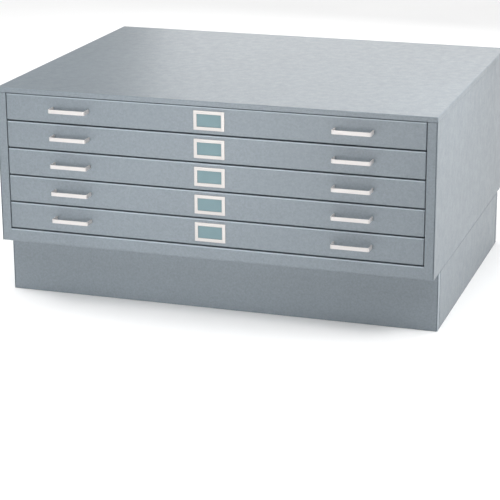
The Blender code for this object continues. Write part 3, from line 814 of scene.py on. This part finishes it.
def rounded_rectangle(half_x, half_z, radius, steps=5):
    """Points around a rectangle with round corners."""
    points = []
    for quarter, (sx, sz) in enumerate(((1, 1), (-1, 1), (-1, -1), (1, -1))):
        for i in range(steps + 1):
            angle = math.pi / 2 * (quarter + i / steps)
            x = sx * (half_x - radius) + radius * math.cos(angle)
            z = sz * (half_z - radius) + radius * math.sin(angle)
            points.append((x, z))
    return points


def label_frame(place):
    """A stamped frame: an upright edge, a stepped face and a rim turned down into the window."""
    low, high = HOLDER
    half_x, half_z = (high.x - low.x) / 2, (high.z - low.z) / 2
    back, front = high.y - FRONT_Y, low.y - FRONT_Y
    depth = back - front
    section = [
        (0.0, 0.0), (0.0, 0.55), (0.0002, 0.70), (0.0007, 0.78), (0.0038, 0.80), (0.0043, 0.86),
        (0.0046, 0.97), (0.0051, 1.0), (0.0080, 1.0), (0.0085, 0.94), (0.0088, 0.80),
        (0.0088, 0.52),
    ]  # inset from the outline, and height as a share of the depth
    bm = bmesh.new()
    loops = []
    for inset, height in section:
        corner = max(0.0014 - inset * 0.12, 0.0003)
        outline = rounded_rectangle(half_x - inset, half_z - inset, corner)
        y = back - height * depth
        loops.append([bm.verts.new((x, y, z)) for x, z in outline])
    for first, second in zip(loops, loops[1:]):
        for i in range(len(first)):
            j = (i + 1) % len(first)
            bm.faces.new((first[i], first[j], second[j], second[i]))
    bmesh.ops.recalc_face_normals(bm, faces=bm.faces)
    bm.normal_update()
    if sum(face.normal.y for face in bm.faces) > 0:
        bmesh.ops.reverse_faces(bm, faces=bm.faces)
    return moved(bm, Vector((0.0, 0.0, middle_height(HOLDER))) + Vector(place))


def label_card(place):
    """A card that bows very slightly in its holder."""
    low, high = LABEL
    half_x, half_z = (high.x - low.x) / 2, (high.z - low.z) / 2
    thickness = 0.0003
    bow = 0.0002
    columns = 16
    bm = box((-half_x, -thickness, -half_z), (half_x, 0.0, half_z))
    for i in range(1, columns):
        cut_across(bm, (-half_x + 2 * half_x * i / columns, 0.0, 0.0), (1.0, 0.0, 0.0))
    back = high.y - FRONT_Y
    for vert in bm.verts:
        vert.co.y += back - bow * math.cos(vert.co.x / half_x * math.pi / 2)
    return moved(bm, Vector((0.0, 0.0, middle_height(LABEL))) + Vector(place))


def depressor_slope():
    """The plate's slope at rest, as unit vectors along it and square to it in the YZ plane."""
    angle = math.asin((HINGE[1] - DEPRESSOR_LOW_END) / DEPRESSOR_LENGTH)
    return Vector((math.cos(angle), -math.sin(angle))), Vector((math.sin(angle), math.cos(angle)))


def depressor_plate(place):
    """The hinged plate: a rolled hinge edge, a long slope and a curled rear edge."""
    along, up = depressor_slope()
    start = along * ROD_RADIUS * 0.2 - up * ROD_RADIUS
    centre = along * DEPRESSOR_LENGTH + up * CURL
    path = [start, along * HINGE_LEAF]
    for i in range(11):
        angle = math.radians(15 * i)
        path.append(centre + CURL * (along * math.sin(angle) - up * math.cos(angle)))
    half = TRAY_HALF - TRAY_SHEET - DEPRESSOR_GAPS[0]
    return moved(strip(path, "X", -half, half), Vector((0.0, *HINGE)) + Vector(place))


def depressor_rod(place):
    """The hinge rod, with pins that go through the tray's sides."""
    end = TRAY_HALF + GAP
    shoulder = TRAY_HALF - TRAY_SHEET - DEPRESSOR_GAPS[1]
    chamfer = 0.0004
    half = [
        (end, 0.0), (end, PIN_RADIUS - chamfer), (end - chamfer, PIN_RADIUS),
        (shoulder, PIN_RADIUS), (shoulder, ROD_RADIUS),
    ]
    profile = half + [(-x, radius) for x, radius in reversed(half)]
    return moved(turned(profile, 28), Vector((0.0, *HINGE)) + Vector(place))


def depressor_ribs(place):
    """Pressed ribs that stiffen the plate."""
    along, up = depressor_slope()
    angle = math.atan2(-along.y, along.x)
    half_width, half_length, height = RIB_SIZE
    ribs = []
    for i in range(-2, 3):
        rib = bmesh.new()
        bmesh.ops.create_uvsphere(rib, u_segments=24, v_segments=12, radius=1.0)
        lower = [vert for vert in rib.verts if vert.co.z < -0.01]
        bmesh.ops.delete(rib, geom=lower, context="VERTS")
        for vert in rib.verts:
            stretch = half_length if vert.co.y > 0 else -half_length
            off_middle = abs(vert.co.y) > 0.001
            vert.co.y = vert.co.y * half_width + (stretch if off_middle else 0.0)
            vert.co.x *= half_width
            vert.co.z *= height
        bmesh.ops.rotate(rib, verts=rib.verts, matrix=Matrix.Rotation(-angle, 3, "X"))
        centre = along * RIB_PLACE + up * TRAY_SHEET
        ribs.append(moved(rib, (i * RIB_SPACING, *centre)))
    return moved(merged(ribs), Vector((0.0, *HINGE)) + Vector(place))


def make_drawer(number):
    """One drawer with everything on it."""
    body = f"drawer_{number}"
    place = Vector((0.0, FRONT_Y, drawer_floor(number)))
    sheet_piece(
        f"{body}_face", drawer_front(place), FRONT_PAINT, body=body, stands_for=[f"{body}_front"]
    )
    sheet_piece(
        f"{body}_pan", tray_shell(place), INNER_PAINT, TRAY_SHEET, TRAY_BEND,
        body=body, stands_for=[f"{body}_tray"],
    )
    soften(piece(f"{body}_hems", tray_hems(place), INNER_PAINT, body), HEM_EDGE)
    soften(piece(f"{body}_screws", handle_screws(place), STEEL, body), FINE_EDGE)
    for hand, bm in both_sides(tray_rail(place)):
        sheet_piece(f"{body}_rail_{hand}", bm, INNER_PAINT, bend=None, body=body)
    for hand, bm in both_sides(tray_axle(place)):
        soften(piece(f"{body}_axle_{hand}", bm, ROLLER, body), FINE_EDGE)
    middle = (HANDLE[0].x + HANDLE[1].x) / 2
    for hand, x in (("left", -middle), ("right", middle)):
        node = f"{body}_handle_{hand}"
        obj = piece(f"{body}_strap_{hand}", strap_handle(x, place), CHROME, body, [node])
        fold(obj, STRAP)
        obj.modifiers["edges"].width = STRAP_EDGE
        obj.modifiers["edges"].segments = 3
    holder = piece(
        f"{body}_label_frame", label_frame(place), LABEL_CHROME, body, [f"{body}_label_holder"]
    )
    fold(holder, PLATE)
    holder.modifiers["edges"].width = FINE_EDGE
    card = piece(f"{body}_card", label_card(place), CARD, body, [f"{body}_label_card"])
    soften(card, 0.00005, 1)

    plate = f"{body}_depressor"
    obj = piece(f"{plate}_plate", depressor_plate(place), INNER_PAINT, plate, [plate])
    fold(obj, TRAY_SHEET)
    soften(piece(f"{plate}_rod", depressor_rod(place), STEEL, plate), FINE_EDGE)
    soften(piece(f"{plate}_ribs", depressor_ribs(place), INNER_PAINT, plate), FINE_EDGE)

    bearing = turned(roller_profile(*REAR_ROLLER), 64)
    for hand, bm in both_sides(moved(bearing, roller_place() + place)):
        node = f"{body}_roller_{hand}"
        soften(piece(f"{node}_bearing", bm, ROLLER, node, [node]), FINE_EDGE)


# ---------------------------------------------------------------- floor, light and camera

CAMERA_PLACE = (1.4862, -4.6574, 1.6010)
CAMERA_TURN = (18.076, 17.598, -0.255)  # azimuth, elevation and roll, in degrees
CAMERA_LENS = 130.5                # focal length and sensor width in mm
SENSOR = 36.0


def soft_box(name, place, target, size, power, spread=180.0):
    """A rectangular soft box that looks at a point. Its spread in degrees is less behind a grid."""
    data = bpy.data.lights.new(name, "AREA")
    data.shape = "RECTANGLE"
    data.size, data.size_y = size
    data.energy = power
    data.spread = math.radians(spread)
    obj = bpy.data.objects.new(name, data)
    obj.location = place
    direction = Vector(target) - Vector(place)
    obj.rotation_euler = direction.to_track_quat("-Z", "Y").to_euler()
    obj.visible_camera = False
    bpy.context.scene.collection.objects.link(obj)


def ceiling_light(strength, spread):
    """Even light from above."""
    data = bpy.data.lights.new("ceiling", "SUN")
    data.energy = strength
    data.angle = math.radians(spread)
    bpy.context.scene.collection.objects.link(bpy.data.objects.new("ceiling", data))


def make_floor():
    """A plain pale floor."""
    material, tree, shader = node_material("pale_floor")
    tone = ramp(tree, noise(tree, 2.0, 3.0), grey(0.965), grey(0.98))
    tree.links.new(tone, shader.inputs["Base Color"])
    shader.inputs["Roughness"].default_value = 0.9
    shader.inputs["Specular IOR Level"].default_value = 0.1
    bm = bmesh.new()
    bmesh.ops.create_grid(bm, x_segments=1, y_segments=1, size=30.0)
    mesh = bpy.data.meshes.new("floor")
    bm.to_mesh(mesh)
    bm.free()
    mesh.materials.append(material)
    floor = bpy.data.objects.new("floor", mesh)
    bpy.context.scene.collection.objects.link(floor)


def make_room(wall, sky):
    """A studio whose white wall shows all round, up to a few degrees above the floor's edge."""
    world = bpy.data.worlds.new("studio")
    world.use_nodes = True
    tree = world.node_tree
    place = tree.nodes.new("ShaderNodeTexCoord")
    split = tree.nodes.new("ShaderNodeSeparateXYZ")
    tree.links.new(place.outputs["Generated"], split.inputs["Vector"])
    light = ramp(tree, split.outputs["Z"], grey(wall), grey(sky), 0.14, 0.24)
    tree.links.new(light, tree.nodes["Background"].inputs["Color"])
    bpy.context.scene.world = world


def make_light():
    """Soft boxes in front, on each side, behind and over the floor, and even light from above."""
    make_room(wall=0.9, sky=0.03)
    soft_box(
        "front", place=(-0.30, -3.80, 0.45), target=(-0.20, -0.435, 0.46), size=(0.8, 1.0),
        power=2.20, spread=32.0,
    )
    soft_box(
        "floor", place=(-0.2, -2.1, 2.8), target=(-0.3, -1.6, 0.0), size=(2.0, 1.0),
        power=6.0, spread=70.0,
    )
    soft_box("right", place=(1.3, -0.35, 1.0), target=(0.59, -0.3, 0.30), size=(0.4, 0.4), power=5.8)
    soft_box("left", place=(-1.5, -0.2, 1.1), target=(-0.59, -0.1, 0.30), size=(0.5, 0.5), power=6.0)
    soft_box("back", place=(0.3, 3.2, 1.6), target=(0.0, 0.0, 0.3), size=(4.0, 1.6), power=36.0)
    ceiling_light(strength=2.76, spread=90.0)


def make_camera():
    """The camera, to the right of the front and above it."""
    azimuth, elevation, roll = [math.radians(angle) for angle in CAMERA_TURN]
    forward = Vector((
        -math.sin(azimuth) * math.cos(elevation),
        math.cos(azimuth) * math.cos(elevation),
        -math.sin(elevation),
    ))
    right = Vector((math.cos(azimuth), math.sin(azimuth), 0.0))
    up = right.cross(forward)
    tilted_right = right * math.cos(roll) + up * math.sin(roll)
    tilted_up = up * math.cos(roll) - right * math.sin(roll)
    data = bpy.data.cameras.new("camera")
    data.lens = CAMERA_LENS
    data.sensor_width = SENSOR
    camera = bpy.data.objects.new("camera", data)
    turn = Matrix((tilted_right, tilted_up, -forward)).transposed().to_4x4()
    camera.matrix_world = Matrix.Translation(CAMERA_PLACE) @ turn
    bpy.context.scene.collection.objects.link(camera)
    bpy.context.scene.camera = camera


make_shell()
make_base()
make_bolts()
make_racks()
for number in DRAWERS:
    make_drawer(number)
make_floor()
make_light()
make_camera()
bpy.context.scene.view_settings.view_transform = "Standard"

bpy.context.view_layer.update()
